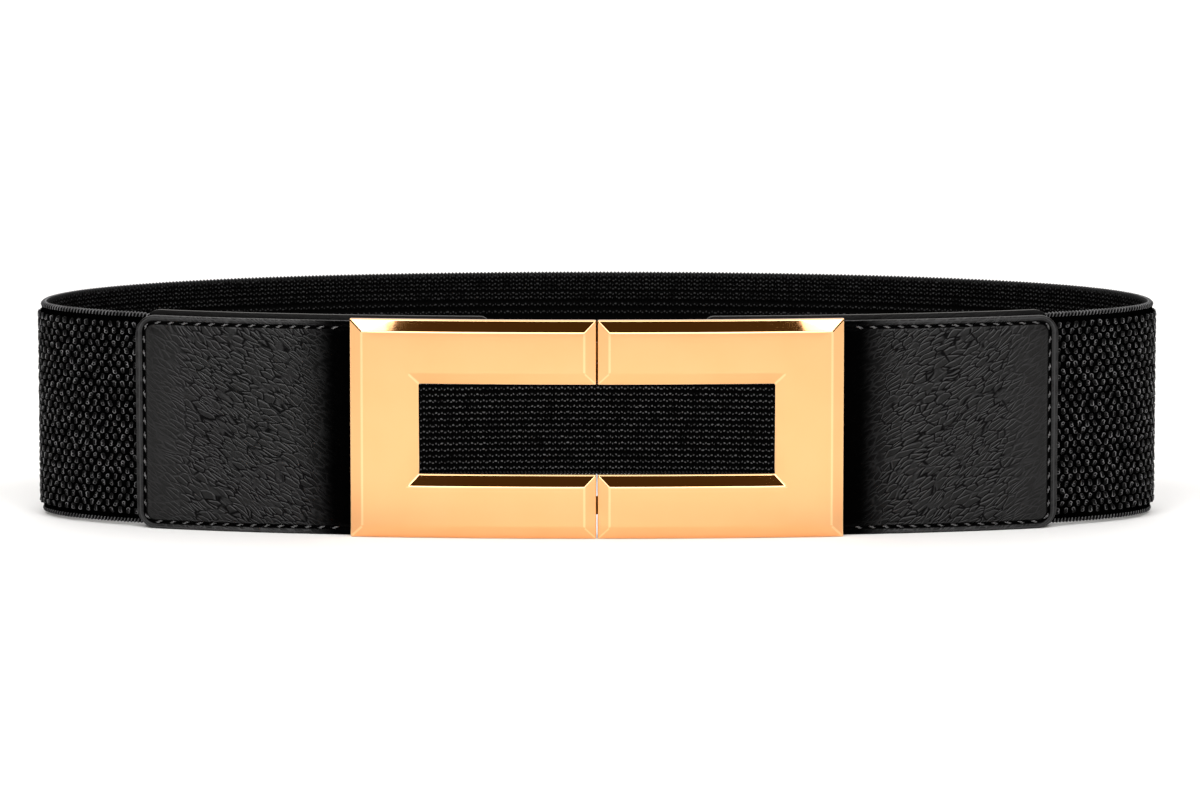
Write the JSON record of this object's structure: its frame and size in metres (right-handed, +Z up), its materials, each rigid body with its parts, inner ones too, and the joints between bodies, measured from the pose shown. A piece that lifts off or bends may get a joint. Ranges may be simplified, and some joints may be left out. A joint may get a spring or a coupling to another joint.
{
  "type": "elastic stretch belt",
  "caption": "Wide elastic stretch belt, fastened in a loop, with leather tabs and a two-piece bevelled metal interlocking buckle.",
  "frame": {"origin": "on the ground, under the middle of the belt's outer box", "axes": "+X to the right along the belt's length as seen from the buckle side, +Y from the buckle to the back of the loop, +Z up across the belt's width"},
  "size_m": [0.3164, 0.1066, 0.0614],
  "materials": {
    "elastic_webbing": "black woven elastic, a raised field of small staggered knots outside and fine lengthwise ribs inside",
    "tab_leather": "black pebbled leather with soft creases, half matt, edge-stitched in black thread",
    "backing_leather": "smooth black leather, half matt",
    "buckle_metal": "polished pale gold plating with crisp bevels"
  },
  "bodies": {
    "root": {"elastic_band": "elastic_webbing", "leather_tab_left": "tab_leather", "leather_tab_right": "tab_leather", "leather_backing_left": "backing_leather", "leather_backing_right": "backing_leather", "buckle_half_left": "buckle_metal", "buckle_half_right": "buckle_metal"}
  },
  "joints": []
}
